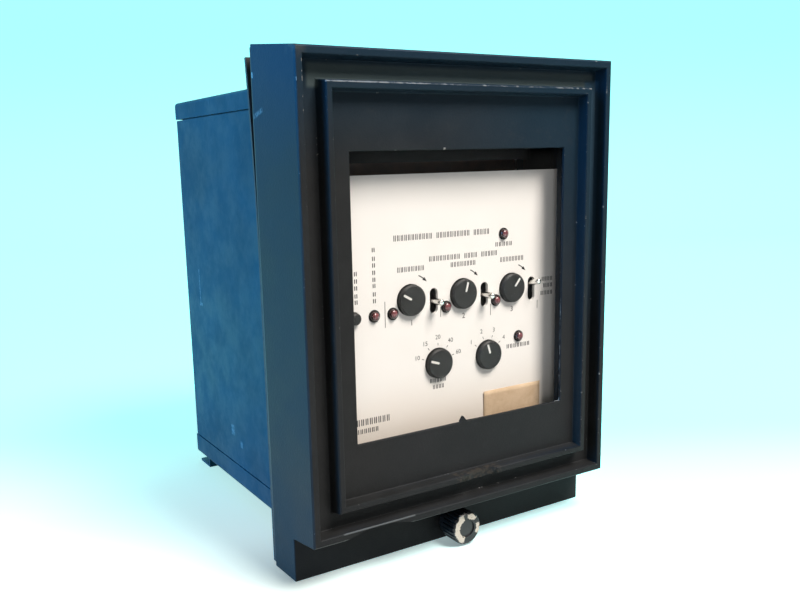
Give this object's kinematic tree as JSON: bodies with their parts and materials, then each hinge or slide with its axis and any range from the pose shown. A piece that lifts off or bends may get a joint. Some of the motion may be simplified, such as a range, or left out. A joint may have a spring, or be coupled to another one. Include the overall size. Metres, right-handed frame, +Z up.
{
  "type": "protection relay",
  "caption": "Panel-mounted draw-out protection relay: steel case, deep moulded cover with a window, white front panel with knobs, toggles and lamps, rear screw terminals.",
  "frame": {"origin": "middle of the four mounting studs, on the face of the panel that the relay is fixed to", "axes": "+X to the right seen from the front, +Y to the rear along the studs, +Z up"},
  "size_m": [0.169, 0.2104, 0.2292],
  "materials": {
    "cover_moulding": "black compression moulding, slightly pebbled, chipped at its lips",
    "black_moulding": "satin black",
    "brown_moulding": "brown moulding",
    "pane": "clear",
    "gasket_rubber": "black rubber",
    "nut_black": "black, with a worn pale ring on its face",
    "case_paint": "dark semi-gloss paint on sheet steel, scuffed",
    "black_paint": "black paint on steel plate",
    "steel": "zinc-plated",
    "contact_metal": "plated spring strip",
    "panel_white": "warm white paint with plain scale marks",
    "lamp_red": "dark red, unlit",
    "control_body": "moulded",
    "knob_black": "black with a white pointer",
    "lever_chrome": "plated",
    "board_green": "coated board",
    "core_steel": "stacked sheet",
    "coil_wrap": "varnished wrap"
  },
  "bodies": {
    "case": {"case_wrap": "case_paint", "case_lid": "case_paint", "case_pan": "case_paint", "mounting_flange": "black_paint", "panel_gasket": "gasket_rubber", "mounting_studs": "steel", "cover_stud": "steel", "terminal_block_upper": "black_moulding", "terminal_block_lower": "black_moulding", "terminal_clamps": "steel", "terminal_screws": "steel", "case_contact_block_upper": "brown_moulding", "case_contact_block_lower": "brown_moulding", "chassis_contact_block_upper": "brown_moulding", "chassis_contact_block_lower": "brown_moulding", "contact_fingers": "contact_metal", "connection_plug_upper": "black_moulding", "connection_plug_lower": "black_moulding", "plug_contacts": "contact_metal", "slide_rails": "steel", "chassis_side_left": "steel", "chassis_side_right": "steel", "chassis_back": "steel", "front_panel": "panel_white", "sub_panel": "steel", "panel_spacers": "steel", "indicator_lamps": "lamp_red", "delay_pots": "control_body", "selector_switches": "control_body", "control_nuts": "steel", "toggle_bodies": "control_body", "reset_switch": "control_body", "main_board": "board_green", "power_board": "board_green", "transformer_core": "core_steel", "transformer_coil": "coil_wrap", "output_relays": "control_body", "capacitors": "control_body"},
    "cover": {"cover": "cover_moulding", "window_pane": "pane", "pane_retainer": "black_moulding", "retainer_screws": "steel", "cover_seal": "gasket_rubber"},
    "thumb_nut": {"thumb_nut": "nut_black", "nut_clip": "steel"},
    "knob_first": {"knob_first": "knob_black", "shaft_first": "steel"},
    "knob_second": {"knob_second": "knob_black", "shaft_second": "steel"},
    "knob_third": {"knob_third": "knob_black", "shaft_third": "steel"},
    "knob_reset_time": {"knob_reset_time": "knob_black", "shaft_reset_time": "steel"},
    "knob_shots": {"knob_shots": "knob_black", "shaft_shots": "steel"},
    "toggle_first": {"toggle_lever_first": "lever_chrome"},
    "toggle_second": {"toggle_lever_second": "lever_chrome"},
    "toggle_third": {"toggle_lever_third": "lever_chrome"},
    "reset_button": {"reset_button": "knob_black"}
  },
  "joints": [
    {"name": "cover_pull", "type": "slide", "parent": "case", "child": "cover", "axis": [0, -1, 0], "range_m": [0, 0.06]},
    {"name": "nut_turn", "type": "hinge", "parent": "cover", "child": "thumb_nut", "pos_m": [0, -0.0235, -0.1024], "axis": [0, 1, 0], "continuous": true},
    {"name": "first_turn", "type": "hinge", "parent": "case", "child": "knob_first", "pos_m": [-0.022, -0.025, 0.0084], "axis": [0, 1, 0], "range_deg": [-75, 195]},
    {"name": "second_turn", "type": "hinge", "parent": "case", "child": "knob_second", "pos_m": [0.0071, -0.025, 0.0084], "axis": [0, 1, 0], "range_deg": [-150, 120]},
    {"name": "third_turn", "type": "hinge", "parent": "case", "child": "knob_third", "pos_m": [0.0362, -0.025, 0.0084], "axis": [0, 1, 0], "range_deg": [-174, 96]},
    {"name": "reset_time_turn", "type": "hinge", "parent": "case", "child": "knob_reset_time", "pos_m": [-0.0072, -0.025, -0.0228], "axis": [0, 1, 0], "range_deg": [0, 144]},
    {"name": "shots_turn", "type": "hinge", "parent": "case", "child": "knob_shots", "pos_m": [0.0219, -0.025, -0.0228], "axis": [0, 1, 0], "range_deg": [-36, 72]},
    {"name": "first_toggle", "type": "hinge", "parent": "case", "child": "toggle_first", "pos_m": [-0.0092, -0.0134, 0.0067], "axis": [1, 0, 0], "range_deg": [-14, 14]},
    {"name": "second_toggle", "type": "hinge", "parent": "case", "child": "toggle_second", "pos_m": [0.0199, -0.0134, 0.0067], "axis": [1, 0, 0], "range_deg": [-14, 14]},
    {"name": "third_toggle", "type": "hinge", "parent": "case", "child": "toggle_third", "pos_m": [0.049, -0.0134, 0.0067], "axis": [1, 0, 0], "range_deg": [0, 28]},
    {"name": "reset_press", "type": "slide", "parent": "case", "child": "reset_button", "axis": [0, 1, 0], "range_m": [0, 0.002], "stiffness_N_per_m": 300}
  ]
}
